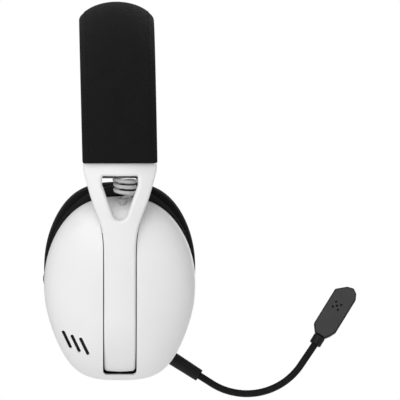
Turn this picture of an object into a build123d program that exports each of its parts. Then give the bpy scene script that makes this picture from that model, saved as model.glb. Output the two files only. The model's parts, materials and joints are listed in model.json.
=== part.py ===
from build123d import *
import math
import os

# Wireless over-ear gaming headset: a sprung headband in a fabric sleeve, two Y-shaped yokes whose bars slide in
# channels in the ear cups, and a boom microphone that plugs into the left cup.
# Frame: +X forwards, +Y to the wearer's left, +Z up, origin midway between the centres of the two ear pad faces.
# Both cups are drawn on the right-hand cup's plane, where x is forwards, y is up along the yoke bar and z is
# outwards from the rim, and what belongs on the left is mirrored across the middle plane.

# ---- driving dimensions, millimetres and degrees ----
cup_tilt = 10.0  # the unworn cups toe in by this much
pad_face_half_gap = 33.0  # from the middle plane to the centre of a pad's face
pad_depth = 20.0  # ear pad with its mounting ring
baffle_depth = 6.0

# An egg outline: half width, top, bottom, the height of its widest line, then the superellipse power above and
# below that line, each as its value there and how much it grows towards the end.
shell_egg = (39.8, 48.4, -49.4, 1.0, (2.1, 0.2), (1.95, 0.75))
pad_egg = (40.1, 55.4, -49.5, 8.4, (2.0, 0.0), (2.15, 0.0))
shell_height = 22.7
shell_wall = 2.0
dome_power = 2.4  # superellipse power of the dome's profile

opening_half_width, opening_half_height = 22.0, 33.0
opening_rise = 3.0  # the ear opening's centre lies this far above the rim's

bar_half_width = 8.35
bar_outer = 23.2  # outer face of the bar, above the rim plane
bar_thickness = 6.2
bar_curve_start = -12.0  # below this the bar curves inwards with the dome
bar_curve_radius = 45.0
bar_curve_angle = 45.0
bar_crown_radius = 50.0
slide_gap = 0.45
slot_bottom = -44.6
slot_through_top = 32.0  # above this the shell's own wall is the slot's floor
channel_wall = 1.4
channel_floor = 1.0
deep_floor = 5.0
deep_floor_top = 21.0
shallow_floor = 16.3

fabric_edge_z = 60.3
apex_z = 136.3  # widest line of the headband at its top
band_half_width, band_widening = 19.57, 0.45  # at the fabric's edge, and how much more at the top
band_crown_end, band_crown_top = 5.0, 11.2
band_crown_power_end, band_crown_power_top = 0.5, 0.62
band_seam_rise = 1.45  # the widest line's height over the middle line at the top
band_inside = 8.4
band_lean = 1.2  # the padded cover leans backwards over its frame by this much
cover_thickness = 1.2
core_half_width = 12.6
core_low, core_high = -5.2, 2.45  # from the headband's middle line, away from the head
frame_low, frame_high = 0.5, 2.4
spring_low, spring_high = -0.3, 0.4
tongue_low, tongue_high = -2.6, -0.4
tongue_end_angle = 22.0
band_screw_angles = (13.0, 19.0)
band_screw_spacing = 17.0
band_lead_radius = 0.8
band_lead_level = -4.4
yoke_cover_depth = 8.5
yoke_cover_half_width = 15.0
yoke_cover_bottom = 61.25

screw_places = [(29.0, 26.0), (-29.0, 26.0), (33.5, -9.0), (-33.5, -9.0)]
boss_radius = 3.2
screw_hole, screw_radius, screw_head_radius = 1.1, 1.0, 2.2

vent_places = [(-27.7, -25.2), (-23.1, -26.9), (-18.6, -28.1)]
vent_length, vent_width, vent_angle = 10.5, 1.75, -65.0

driver_radius = 20.0
magnet_radius = 11.0

wheel_place, wheel_radius = (-33.5, 4.0), 8.0
wheel_bottom, wheel_top = 5.4, 8.6
encoder_shaft = 1.5
button_level = 6.0  # the controls sit on the side wall at this distance from the rim
mute_height, power_height, light_height, usb_height = 19.5, -20.5, -30.5, -44.0
button_size, button_proud = (9.0, 3.4), 1.0

coil_place = (2.6, 12.0)
coil_radius = 6.0
coil_bottom, coil_top = 51.5, 61.2
lead_radius = 0.9
grommet_place = (1.5, 8.0)

grommet_radius, grommet_flange_radius = 2.2, 2.7
grommet_low, grommet_high = 40.4, 48.6

mic_level = 7.0  # plane of the microphone, outwards from the rim
mic_start = (43.84, -49.5)  # where the boom leaves the plug
mic_start_angle, mic_end_angle, mic_head_angle = -33.0, 56.0, 58.3
boom_radius = 1.93
boom_run_in, boom_bend_radius, boom_run_out = 7.8, 35.5, 13.9
boom_knuckle_gap = 0.06
plug_length, plug_radius, plug_tip_radius = 20.0, 3.75, 3.4
pin_length, pin_radius = 12.6, 1.75
socket_length, socket_radius = 14.0, 4.6
collar_length, collar_radius = 5.2, 3.3
capsule_half_depth = 2.75
capsule_joint = -0.7  # the capsule's two halves meet here, measured away from the mouth
capsule_outline = [
    (-6.4, 4.4), (-6.4, 26.6), (-1.3, 31.1), (2.2, 32.1), (4.9, 30.3), (6.4, 27.3),
    (6.4, 6.2), (4.9, 3.0), (3.0, 0.2), (-3.2, 0.2),
]
mic_place = (-0.6, 19.0)  # the cartridge, on the capsule's own plane

# ---- derived dimensions ----
tilt_sin = math.sin(math.radians(cup_tilt))
tilt_cos = math.cos(math.radians(cup_tilt))
pad_face = -(pad_depth + baffle_depth)
rim_y = pad_face_half_gap - pad_face * tilt_cos
rim_z = pad_face * tilt_sin
bar_inner = bar_outer - bar_thickness
bar_middle = bar_outer - bar_thickness / 2
bar_reach = rim_y + bar_middle * tilt_cos
# The yoke leaves the straight bar where one arc, centred on the middle plane, reaches the top of the headband.
arch_start = (apex_z - rim_z + bar_middle * tilt_sin - (1 + tilt_sin) * bar_reach / tilt_cos) / (
    tilt_cos + (1 + tilt_sin) * tilt_sin / tilt_cos
)
arch_radius = (bar_reach + arch_start * tilt_sin) / tilt_cos
arch_centre_z = apex_z - arch_radius
fabric_edge_angle = math.degrees(math.asin((fabric_edge_z - arch_centre_z) / arch_radius))

cup = Plane(origin=(0, -rim_y, rim_z), x_dir=(1, 0, 0), z_dir=(0, -tilt_cos, -tilt_sin))
bar_section = Plane(cup.from_local_coords(Vector(0, arch_start, 0)), x_dir=cup.x_dir, z_dir=-cup.y_dir)
bar_curve_section = bar_section.offset(arch_start - bar_curve_start)
lead_exit = Plane(cup.from_local_coords(Vector(grommet_place[0], grommet_low, grommet_place[1])), x_dir=cup.x_dir,
                  z_dir=cup.y_dir)
arch_axis_up = Axis((0, 0, arch_centre_z), (-1, 0, 0))
bar_curve_centre = cup.from_local_coords(Vector(0, bar_curve_start, bar_outer - bar_curve_radius))
bar_curve_axis = Axis(bar_curve_centre, (1, 0, 0))
fabric_edge_plane = Plane.XY.offset(fabric_edge_z)

print(f"arch starts {arch_start:.2f} up the bar, radius {arch_radius:.2f}, centre {arch_centre_z:.2f}")
print(f"rim at y {rim_y:.2f}, z {rim_z:.2f}; fabric edge at {fabric_edge_angle:.2f} degrees")


def save(piece, name):
    """Labels a finished piece and writes its STEP file."""
    piece.part.label = name
    export_step(piece.part, f"parts/{name}.step")


def save_left(piece, name):
    """Writes the left-hand copy of a right-hand piece."""
    with BuildPart() as left:
        mirror(piece.part, about=Plane.XZ)
    save(left, name)


def save_pair(piece, name):
    """Writes a piece that both sides have, as NAME_right and NAME_left."""
    save(piece, name + "_right")
    save_left(piece, name + "_left")


def egg_half_width(egg, height):
    """How far an egg outline reaches to either side at that height."""
    half_width, top, bottom, middle, upper, lower = egg
    reach, (power, growth) = (top - middle, upper) if height >= middle else (middle - bottom, lower)
    share = abs(height - middle) / reach
    power += growth * share**3
    return half_width * max(0.0, 1 - share**power) ** (1 / power)


def egg_points(egg, inset=0.0, scale=1.0, count=32):
    """Points round an egg outline made smaller by inset all round, then scaled about the rim's centre."""
    half_width, top, bottom, middle, upper, lower = egg
    smaller = (half_width - inset, top - inset, bottom + inset, middle, upper, lower)
    points = []
    for step in range(count):
        turn = 2 * math.pi * step / count
        share = abs(math.sin(turn)) ** 0.9
        height = middle + share * (top - inset - middle if math.sin(turn) > 0 else bottom + inset - middle)
        across = math.copysign(egg_half_width(smaller, height), math.cos(turn))
        points.append((across * scale, height * scale))
    return points


def opening_points(grow, count=28):
    """Points round the ear opening's oval, larger by grow."""
    points = []
    for step in range(count):
        turn = 2 * math.pi * step / count
        across = math.copysign(abs(math.cos(turn)) ** 0.85, math.cos(turn))
        up = math.copysign(abs(math.sin(turn)) ** 0.85, math.sin(turn))
        points.append(((opening_half_width + grow) * across, opening_rise + (opening_half_height + grow) * up))
    return points


def plate(points, low, high):
    """A plate with that smooth outline between two levels above the rim plane."""
    with BuildPart() as flat:
        with BuildSketch(cup.offset(low)):
            with BuildLine():
                Spline(*points, periodic=True)
            make_face()
        extrude(amount=high - low)
    return flat.part


def dome(shrink, sections=10, last_angle=82.0):
    """The shell's outer form, made smaller by shrink on every side but the rim's."""
    with BuildPart() as form:
        for step in range(sections):
            angle = math.radians(last_angle * step / (sections - 1))
            level = (shell_height - shrink) * math.sin(angle) ** (2 / dome_power)
            with BuildSketch(cup.offset(level)):
                with BuildLine():
                    Spline(*egg_points(shell_egg, shrink, math.cos(angle) ** (2 / dome_power)), periodic=True)
                make_face()
        loft()
    return form.part


def rim_plane(height, side, level):
    """A plane on the shell's side wall at that height: x runs along the wall, y away from the rim, z out of it."""
    scale = (1 - (level / shell_height) ** dome_power) ** (1 / dome_power)
    slope = egg_half_width(shell_egg, height + 0.5) - egg_half_width(shell_egg, height - 0.5)
    normal = Vector(side, -slope, 0).normalized()
    place = Vector(side * egg_half_width(shell_egg, height) * scale, height * scale, level)
    out = cup.from_local_coords(place + normal) - cup.from_local_coords(place)
    return Plane(cup.from_local_coords(place), x_dir=cup.z_dir.cross(out), z_dir=out)


def arch_section(angle):
    """The plane across the headband at that angle above the right-hand horizontal: y points away from the head."""
    turn = math.radians(angle)
    place = (0, -arch_radius * math.cos(turn), arch_centre_z + arch_radius * math.sin(turn))
    return Plane(place, x_dir=(1, 0, 0), z_dir=(0, -math.sin(turn), -math.cos(turn)))


def arch_tangent_plane(angle):
    """The plane on the headband's middle line at that angle: z points away from the head."""
    section = arch_section(angle)
    return Plane(section.origin, x_dir=(1, 0, 0), z_dir=section.y_dir)


def yoke_outline(grow, bottom, top=95.0, level=0.0):
    """The Y shape of a yoke, wider by grow on each side, at that level above the rim plane."""
    flank = [(bar_half_width, 20.0), (9.95, 36.7), (14.7, 49.6), (18.1, 61.0), (19.3, 69.0)]
    flank = [(x + grow, y) for x, y in flank]
    with BuildSketch(cup.offset(level)) as outline:
        with BuildLine():
            Line((0, bottom), (bar_half_width + grow, bottom))
            Line((bar_half_width + grow, bottom), flank[0])
            Spline(*flank, tangents=[(0, 1), (0, 1)])
            Line(flank[-1], (flank[-1][0], 95.0))
            Line((flank[-1][0], 95.0), (0, 95.0))
            mirror(about=Plane.YZ)
        make_face()
        fillet(outline.vertices().group_by(Axis.Y)[0], radius=2.0 + grow)
        if top < 95.0:
            with Locations((0, top)):
                Rectangle(120, 120, align=(Align.CENTER, Align.MIN), mode=Mode.SUBTRACT)
    return outline.sketch


def strip(half_width, low, high, first_angle, last_angle):
    """A flat strip bent along the headband, between two distances from its middle line."""
    with BuildPart() as bent:
        with BuildSketch(arch_section(first_angle)):
            with Locations((0, (low + high) / 2)):
                Rectangle(2 * half_width, high - low)
        revolve(axis=arch_axis_up, revolution_arc=last_angle - first_angle)
    return bent.part


def band_form(shrink):
    """The padded headband's outer form, made smaller by shrink all round and cut level at the fabric's edge."""
    with BuildPart() as form:
        for step in range(9):
            angle = 90 + 21.5 * (step - 4)
            swell = math.sin(math.radians(angle)) ** 1.5
            half_width = band_half_width + band_widening * swell - shrink
            seam = band_seam_rise * swell
            crown = band_crown_end + (band_crown_top - band_crown_end) * swell - shrink - seam
            power = band_crown_power_end + (band_crown_power_top - band_crown_power_end) * swell
            section = arch_section(angle)
            back = -math.tan(math.radians(band_lean)) * max(0.0, section.origin.Z - fabric_edge_z)
            outer = []
            for turn in range(0, 181, 15):
                across = math.cos(math.radians(turn))
                outer.append((back + half_width * across, seam + crown * max(0.0, 1 - across**2) ** power))
            with BuildSketch(section):
                with BuildLine():
                    Spline(*outer)
                    EllipticalCenterArc((back, seam), half_width, band_inside + seam - shrink, 180, arc_size=180)
                make_face()
        loft()
        split(bisect_by=fabric_edge_plane, keep=Keep.TOP)
    return form.part


def band_screw_sketch(angle, radius):
    """Two circles across the headband at that angle, for the screws between a yoke's tongue and the frame."""
    with BuildSketch(arch_tangent_plane(angle)) as circles:
        with GridLocations(band_screw_spacing, 0, 2, 1):
            Circle(radius)
    return circles.sketch


def disc(place, level, radius, depth):
    """A cylinder square to the rim plane, from that level outwards."""
    with BuildPart() as cylinder:
        with BuildSketch(cup.offset(level)):
            with Locations(place):
                Circle(radius)
        extrude(amount=depth)
    return cylinder.part


def wall_prism(plane, outline, low, high):
    """A prism square to the side wall, between two distances from it; outline draws its section."""
    with BuildPart() as prism:
        with BuildSketch(plane.offset(low)):
            outline()
        extrude(amount=high - low)
    return prism.part


def plug_plane(back):
    """The plane across the microphone's plug that far back from the boom's start, its z along the boom."""
    turn = math.radians(mic_start_angle)
    place = (mic_start[0] - back * math.cos(turn), mic_start[1] - back * math.sin(turn), mic_level)
    along = Vector(math.cos(turn), math.sin(turn), 0)
    place = cup.from_local_coords(Vector(*place))
    return Plane(place, x_dir=cup.z_dir, z_dir=cup.from_local_coords(along) - cup.origin)


def plug_cylinder(back, radius, depth, tip_radius=None):
    """A cylinder or cone along the microphone's plug that starts that far behind the boom."""
    with BuildPart() as cylinder:
        with BuildSketch(plug_plane(back)):
            Circle(radius)
        if tip_radius is None:
            extrude(amount=depth)
        else:
            with BuildSketch(plug_plane(back - depth)):
                Circle(tip_radius)
            loft()
    return cylinder.part


os.makedirs("parts", exist_ok=True)

# ---- yokes: white arms that split round a window and run down into the cups ----
with BuildPart() as yoke:
    crown_drop = bar_crown_radius - math.sqrt(bar_crown_radius**2 - 21.0**2)
    for plane in (bar_section, bar_curve_section):
        with BuildSketch(plane, mode=Mode.PRIVATE) as bar_profile:
            with BuildLine():
                ThreePointArc((-21, bar_outer - crown_drop), (0, bar_outer), (21, bar_outer - crown_drop))
                Polyline((21, bar_outer - crown_drop), (21, bar_inner), (-21, bar_inner), (-21, bar_outer - crown_drop))
            make_face()
        if plane is bar_section:
            extrude(bar_profile.sketch, amount=arch_start - bar_curve_start)
            revolve(bar_profile.sketch, axis=arch_axis_up, revolution_arc=40)
        else:
            revolve(bar_profile.sketch, axis=bar_curve_axis, revolution_arc=bar_curve_angle)
    extrude(yoke_outline(0, -60), amount=60, both=True, mode=Mode.INTERSECT)
    with BuildSketch(cup) as window:
        with BuildLine():
            Polyline((9.3, 62.4), (9.3, 57.5), (0, 31.7), (-9.3, 57.5), (-9.3, 62.4), close=True)
        make_face()
        fillet(window.vertices().sort_by(Axis.Y)[0:1], radius=4.0)
        fillet(window.vertices().filter_by_position(Axis.Y, 62, 63), radius=1.0)
    extrude(window.sketch, amount=60, both=True, mode=Mode.SUBTRACT)
    bar_end = yoke.faces().filter_by(GeomType.PLANE).sort_by(Axis.Z)[0]
    fillet(bar_end.edges().sort_by(SortBy.LENGTH)[:2], radius=2.2)
    outer_faces = yoke.faces().filter_by(GeomType.REVOLUTION)
    outer_faces += yoke.faces().filter_by(lambda face: abs((face.radius or 0) - bar_crown_radius) < 0.01)
    outer_edges = [edge for face in outer_faces for edge in face.edges()]
    fillet([edge for edge in outer_edges if sum(edge.is_same(other) for other in outer_edges) == 1], radius=1.6)
    split(bisect_by=fabric_edge_plane, keep=Keep.BOTTOM)
    add(strip(11.0, tongue_low, tongue_high, 5.0, tongue_end_angle))
    for angle in band_screw_angles:
        extrude(band_screw_sketch(angle, screw_hole), amount=5, both=True, mode=Mode.SUBTRACT)
save_pair(yoke, "yoke")

with BuildPart() as yoke_cover:
    add(strip(yoke_cover_half_width, -3.15 - yoke_cover_depth, -3.15, -3.0, 14.0))
    split(bisect_by=fabric_edge_plane, keep=Keep.BOTTOM)
    split(bisect_by=Plane(cup.from_local_coords(Vector(0, yoke_cover_bottom, 0)), z_dir=cup.y_dir), keep=Keep.TOP)
    fillet(yoke_cover.edges().filter_by(GeomType.CIRCLE).sort_by(SortBy.RADIUS)[:2], radius=4.0)
    with BuildSketch(arch_section(0)) as lead_hole:
        with Locations((coil_place[0], band_lead_level)):
            Circle(band_lead_radius + 0.2)
    revolve(lead_hole.sketch, axis=arch_axis_up, revolution_arc=14, mode=Mode.SUBTRACT)
save_pair(yoke_cover, "yoke_cover")

with BuildPart() as yoke_screws:
    for angle in band_screw_angles:
        extrude(band_screw_sketch(angle, screw_radius), amount=frame_high - 0.2)
        extrude(band_screw_sketch(angle, screw_radius), amount=tongue_low - 0.2)
        with BuildSketch(arch_tangent_plane(angle).offset(tongue_low - 0.15)):
            with GridLocations(band_screw_spacing, 0, 2, 1):
                Circle(screw_head_radius)
        extrude(amount=-1.2)
save_pair(yoke_screws, "yoke_screws")

with BuildPart() as coil_lead:
    coil_floor = Plane(cup.from_local_coords(Vector(*coil_place[:1], coil_bottom, coil_place[1])), x_dir=cup.x_dir,
                       z_dir=cup.y_dir)
    with BuildSketch(coil_floor):
        Circle(coil_radius)
    extrude(amount=coil_top - coil_bottom)
    tail_top = Plane(cup.from_local_coords(Vector(grommet_place[0], coil_bottom, grommet_place[1])), x_dir=cup.x_dir,
                     z_dir=cup.y_dir)
    with BuildSketch(tail_top):
        Circle(lead_radius)
    extrude(amount=-7.0)
save_pair(coil_lead, "coil_lead")

# ---- headband: fabric sleeve, foam, frame strip, spring strip and the lead between the cups ----
with BuildPart() as headband_foam:
    add(band_form(cover_thickness))
    add(strip(core_half_width, core_low, core_high, 1.0, 179.0), mode=Mode.SUBTRACT)
save(headband_foam, "headband_foam")

with BuildPart() as headband_cover:
    add(band_form(0))
    add(band_form(cover_thickness), mode=Mode.SUBTRACT)
save(headband_cover, "headband_cover")

with BuildPart() as headband_frame:
    add(strip(12.0, frame_low, frame_high, 2.0, 178.0))
    split(bisect_by=fabric_edge_plane, keep=Keep.TOP)
    for angle in band_screw_angles + tuple(180 - angle for angle in band_screw_angles):
        extrude(band_screw_sketch(angle, screw_hole), amount=5, both=True, mode=Mode.SUBTRACT)
save(headband_frame, "headband_frame")

with BuildPart() as headband_spring:
    add(strip(6.0, spring_low, spring_high, 2.0, 178.0))
    split(bisect_by=fabric_edge_plane, keep=Keep.TOP)
save(headband_spring, "headband_spring")

with BuildPart() as headband_lead:
    with BuildSketch(arch_section(2.0)):
        with Locations((coil_place[0], band_lead_level)):
            Circle(band_lead_radius)
    revolve(axis=arch_axis_up, revolution_arc=176.0)
    split(bisect_by=fabric_edge_plane, keep=Keep.TOP)
save(headband_lead, "headband_lead")

# ---- ear cup shells, with the slot that the yoke's bar slides in ----
outer_dome = dome(0)
inner_dome = dome(shell_wall)
with BuildPart() as cup_shell:
    add(outer_dome)
    add(inner_dome, mode=Mode.SUBTRACT)
    for place in screw_places:
        add(disc(place, 0, boss_radius, shell_height))
    add(outer_dome, mode=Mode.INTERSECT)
    for place in screw_places:
        add(disc(place, 0, screw_hole, 9), mode=Mode.SUBTRACT)
    extrude(yoke_outline(slide_gap, slot_bottom, slot_through_top), amount=30, mode=Mode.SUBTRACT)
    extrude(yoke_outline(slide_gap, slot_bottom, level=shallow_floor), amount=20, mode=Mode.SUBTRACT)
    with BuildSketch(cup.offset(4)):
        for place in vent_places:
            with Locations(place):
                SlotOverall(vent_length, vent_width, rotation=vent_angle)
    extrude(amount=20, mode=Mode.SUBTRACT)
    with BuildSketch(lead_exit):
        Circle(grommet_radius + 0.05)
    extrude(amount=grommet_high - grommet_low, mode=Mode.SUBTRACT)
save(cup_shell, "cup_shell_right")

# ---- what both cups hold ----
with BuildPart() as slide_channel:
    grow = slide_gap + channel_wall
    extrude(yoke_outline(grow, slot_bottom - channel_wall, deep_floor_top + channel_wall, deep_floor - channel_floor),
            amount=30)
    extrude(yoke_outline(grow, 0, slot_through_top, shallow_floor - channel_floor), amount=30)
    add(dome(shell_wall + 0.05), mode=Mode.INTERSECT)
    extrude(yoke_outline(slide_gap, slot_bottom, deep_floor_top, deep_floor), amount=30, mode=Mode.SUBTRACT)
    extrude(yoke_outline(slide_gap, slot_bottom, level=shallow_floor), amount=30, mode=Mode.SUBTRACT)
    with BuildSketch(cup.offset(17.2)):
        with Locations((bar_half_width + grow, 0)):
            Rectangle(2 * grow, 16.4)
    extrude(amount=2.6, mode=Mode.SUBTRACT)
save_pair(slide_channel, "slide_channel")

with BuildPart() as detent_spring:
    with BuildSketch(cup.offset(17.35)):
        with Locations((bar_half_width + slide_gap + 1.0, 0)):
            Rectangle(0.4, 16.0)
            Circle(1.0)
        with Locations((bar_half_width + grow, 0)):
            Rectangle(1.3, 16.0, mode=Mode.SUBTRACT, align=(Align.MIN, Align.CENTER))
    extrude(amount=2.3)
save_pair(detent_spring, "detent_spring")

with BuildPart() as lead_grommet:
    with BuildSketch(lead_exit):
        Circle(grommet_radius)
    extrude(amount=grommet_high - grommet_low)
    with BuildSketch(lead_exit):
        Circle(grommet_flange_radius)
    extrude(amount=0.8)
    with BuildSketch(lead_exit):
        Circle(lead_radius + 0.15)
    extrude(amount=grommet_high - grommet_low, mode=Mode.SUBTRACT)
save_pair(lead_grommet, "lead_grommet")

with BuildPart() as vent_mesh:
    add(dome(shell_wall + 0.05))
    add(dome(shell_wall + 0.65), mode=Mode.SUBTRACT)
    with BuildSketch(cup.offset(10)):
        with Locations((-22.9, -26.7)):
            Rectangle(17.4, 15)
    extrude(amount=20, mode=Mode.INTERSECT)
save_pair(vent_mesh, "vent_mesh")

with BuildPart() as baffle:
    add(plate(egg_points(pad_egg, 2.0), -6, -4))
    add(plate(egg_points(shell_egg, 0.8), -4.2, -0.02))
    add(plate(egg_points(shell_egg, 3.0), -4, 1), mode=Mode.SUBTRACT)
    for place in screw_places:
        add(disc(place, -4.5, screw_head_radius + 1.2, 4.48))
    for place in screw_places:
        add(disc(place, -6, screw_head_radius + 0.2, 1.8), mode=Mode.SUBTRACT)
        add(disc(place, -6, screw_hole + 0.1, 6), mode=Mode.SUBTRACT)
    add(disc((0, 0), -4.8, driver_radius + 0.1, 4), mode=Mode.SUBTRACT)
    for ring in range(4):
        with BuildSketch(cup.offset(-6)):
            with PolarLocations(5.0 * ring, max(1, 6 * ring)):
                Circle(1.5)
        extrude(amount=2, mode=Mode.SUBTRACT)
save_pair(baffle, "baffle")

with BuildPart() as baffle_screws:
    for place in screw_places:
        add(disc(place, -5.9, screw_head_radius, 1.65))
        add(disc(place, -4.3, screw_radius, 12))
save_pair(baffle_screws, "baffle_screws")

with BuildPart() as driver_basket:
    with BuildSketch(Plane(cup.origin, x_dir=cup.x_dir, z_dir=-cup.y_dir)):
        Polygon((16.2, -4.75), (20, -4.75), (20, -3.8), (17.4, -3.4), (12.2, -0.65), (5, -0.65), (5, -1.4),
                (11.8, -1.4), (16.2, -3.9), align=None)
    revolve(axis=Axis(cup.origin, cup.z_dir))
save_pair(driver_basket, "driver_basket")

with BuildPart() as driver_magnet:
    add(disc((0, 0), -0.6, magnet_radius, 4.0))
    add(disc((0, 0), -0.6, 3, 4.0), mode=Mode.SUBTRACT)
    fillet(driver_magnet.edges().filter_by(GeomType.CIRCLE), radius=0.5)
save_pair(driver_magnet, "driver_magnet")

with BuildPart() as driver_diaphragm:
    with BuildSketch(Plane(cup.origin, x_dir=cup.x_dir, z_dir=-cup.y_dir)):
        Polygon((0, -2.2), (6, -3.0), (11, -2.8), (16.1, -4.3), (16.1, -4.6), (11, -3.1), (6, -3.3), (0, -2.5),
                align=None)
    revolve(axis=Axis(cup.origin, cup.z_dir))
save_pair(driver_diaphragm, "driver_diaphragm")

with BuildPart() as ear_cloth:
    add(plate(opening_points(1.0), -6.85, -6.05))
save_pair(ear_cloth, "ear_cloth")

with BuildPart() as pad_ring:
    add(plate(egg_points(pad_egg, 3.2), -7.6, -6.05))
    add(plate(opening_points(1.3), -8, -5), mode=Mode.SUBTRACT)
save_pair(pad_ring, "pad_ring")

with BuildPart() as ear_pad:
    add(plate(egg_points(pad_egg), pad_face, -7.65))
    add(plate(opening_points(0), pad_face - 1, -7), mode=Mode.SUBTRACT)
    face_rims = ear_pad.faces().filter_by(GeomType.PLANE).sort_by(Axis(cup.origin, cup.z_dir))
    fillet(face_rims[0].edges(), radius=7.0)
    fillet(face_rims[-1].edges(), radius=2.5)
save_pair(ear_pad, "ear_pad")

# ---- the right cup's battery ----
with BuildPart() as battery:
    with BuildSketch(cup.offset(1.5)):
        with Locations((20.6, 0)):
            RectangleRounded(15.2, 40, 2.0)
    extrude(amount=7)
save(battery, "battery")

# ---- the left cup's controls and sockets, drawn on the right-hand plane and mirrored ----
mute_plane = rim_plane(mute_height, -1, button_level)
power_plane = rim_plane(power_height, -1, button_level)
light_plane = rim_plane(light_height, -1, button_level)
usb_plane = rim_plane(usb_height, -1, button_level)

with BuildPart() as cup_shell_left:
    add(cup_shell.part)
    for plane in (mute_plane, power_plane):
        add(wall_prism(plane, lambda: RectangleRounded(button_size[0] + 0.4, button_size[1] + 0.4, 1.2), -4, 3),
            mode=Mode.SUBTRACT)
    add(wall_prism(usb_plane, lambda: SlotOverall(9.4, 3.7), -4, 4), mode=Mode.SUBTRACT)
    add(wall_prism(light_plane, lambda: Circle(0.85), -4, 4), mode=Mode.SUBTRACT)
    with BuildSketch(cup.offset(wheel_bottom - 0.4)):
        with Locations((-40, wheel_place[1])):
            Rectangle(12, 16.6)
    extrude(amount=wheel_top - wheel_bottom + 0.8, mode=Mode.SUBTRACT)
    add(plug_cylinder(plug_length + 14.6, socket_radius + 0.05, 20), mode=Mode.SUBTRACT)
save_left(cup_shell_left, "cup_shell_left")

with BuildPart() as mic_socket:
    add(plug_cylinder(plug_length + socket_length + 0.1, socket_radius, socket_length))
    add(plug_cylinder(plug_length + socket_length - 0.9, pin_radius + 0.08, socket_length), mode=Mode.SUBTRACT)
save_left(mic_socket, "mic_socket")

with BuildPart() as usb_port:
    add(wall_prism(usb_plane, lambda: SlotOverall(8.9, 3.2), -8, -0.6))
    add(wall_prism(usb_plane, lambda: SlotOverall(8.3, 2.6), -7.4, 0), mode=Mode.SUBTRACT)
    add(wall_prism(usb_plane, lambda: Rectangle(6.7, 0.7), -7.4, -1.6))
save_left(usb_port, "usb_port")

with BuildPart() as status_light:
    add(wall_prism(light_plane, lambda: Circle(0.8), -3.2, 0.1))
save_left(status_light, "status_light")

with BuildPart() as main_board:
    add(plate(egg_points(shell_egg, 4.6), 1.0, 2.4))
    with BuildSketch(cup):
        with Locations((-13, 0)):
            Rectangle(40, 66, align=(Align.MAX, Align.CENTER))
    extrude(amount=5, mode=Mode.INTERSECT)
    for place in screw_places:
        add(disc(place, 0, boss_radius + 0.7, 5), mode=Mode.SUBTRACT)
save_left(main_board, "main_board")

with BuildPart() as volume_encoder:
    with BuildSketch(cup.offset(2.45)):
        with Locations((wheel_place[0] + 1.4, wheel_place[1])):
            RectangleRounded(8.4, 8.4, 0.8)
    extrude(amount=2.6)
    add(disc(wheel_place, 4.9, encoder_shaft, 4.3))
save_left(volume_encoder, "volume_encoder")

with BuildPart() as volume_wheel:
    with BuildSketch(cup.offset(wheel_bottom)):
        with Locations(wheel_place):
            Circle(wheel_radius)
            Circle(encoder_shaft + 0.05, mode=Mode.SUBTRACT)
            with PolarLocations(wheel_radius + 0.25, 32):
                Circle(0.55, mode=Mode.SUBTRACT)
    extrude(amount=wheel_top - wheel_bottom)
save_left(volume_wheel, "volume_wheel")

for plane, name in ((mute_plane, "mute_button"), (power_plane, "power_button")):
    with BuildPart() as button:
        add(wall_prism(plane, lambda: RectangleRounded(*button_size, 1.0), -4.2, button_proud))
        fillet(button.faces().sort_by(Axis(plane.origin, plane.z_dir))[-1].edges(), radius=0.5)
        add(wall_prism(plane, lambda: RectangleRounded(button_size[0] + 1.2, button_size[1] + 0.8, 1.2), -4.4, -3.6))
    save_left(button, name)

with BuildPart() as button_switches:
    for plane in (mute_plane, power_plane):
        add(wall_prism(plane, lambda: RectangleRounded(6, 3.4, 0.5), -7.2, -5.6))
        add(wall_prism(plane, lambda: Circle(1.0), -5.7, -5.1))
save_left(button_switches, "button_switches")

# ---- boom microphone, drawn on the right-hand plane and mirrored ----
mic_plane = cup.offset(mic_level)
with BuildPart() as mic_plug_body:
    add(plug_cylinder(plug_length, plug_radius, plug_length, plug_tip_radius))
    fillet(mic_plug_body.edges().filter_by(GeomType.CIRCLE), radius=0.5)
save_left(mic_plug_body, "mic_plug_body")

with BuildPart() as mic_plug_pin:
    add(plug_cylinder(plug_length + pin_length, 1.0, 2.0, pin_radius))
    add(plug_cylinder(plug_length + pin_length - 2.0, pin_radius, pin_length - 2.0))
save_left(mic_plug_pin, "mic_plug_pin")


def boom_points():
    """The boom's middle line on its plane: straight, half the bend, the other half, straight."""
    first = Vector(1, 0).rotate(Axis.Z, mic_start_angle)
    last = Vector(1, 0).rotate(Axis.Z, mic_end_angle)
    start = Vector(*mic_start)
    bend_start = start + first * boom_run_in
    centre = bend_start + first.rotate(Axis.Z, 90) * boom_bend_radius
    middle = centre + (bend_start - centre).rotate(Axis.Z, (mic_end_angle - mic_start_angle) / 2)
    bend_end = centre + (bend_start - centre).rotate(Axis.Z, mic_end_angle - mic_start_angle)
    return start, bend_start, middle, bend_end, bend_end + last * boom_run_out, centre


boom_start, knuckle_1, knuckle_2, knuckle_3, boom_end, bend_centre = boom_points()
half_bend = (mic_end_angle - mic_start_angle) / 2
head_direction = Vector(1, 0).rotate(Axis.Z, mic_head_angle)


def local_plane(place, normal_angle):
    """A plane square to the boom where its direction on the microphone's plane is normal_angle."""
    turn = math.radians(normal_angle)
    along = cup.x_dir * math.cos(turn) + cup.y_dir * math.sin(turn)
    return Plane(mic_plane.from_local_coords(place), x_dir=cup.z_dir, z_dir=along)


def knuckle(place, radius):
    """A ball at a point on the boom's middle line."""
    with BuildPart(mic_plane) as ball:
        with Locations(place):
            Sphere(radius)
    return ball.part


def boom_arc(place, angle):
    """Half the boom's bend, starting at a point where its direction is angle."""
    with BuildPart() as arc:
        with BuildSketch(local_plane(place, angle)):
            Circle(boom_radius)
        revolve(axis=Axis(mic_plane.from_local_coords(bend_centre), mic_plane.z_dir), revolution_arc=half_bend)
    return arc.part


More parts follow.
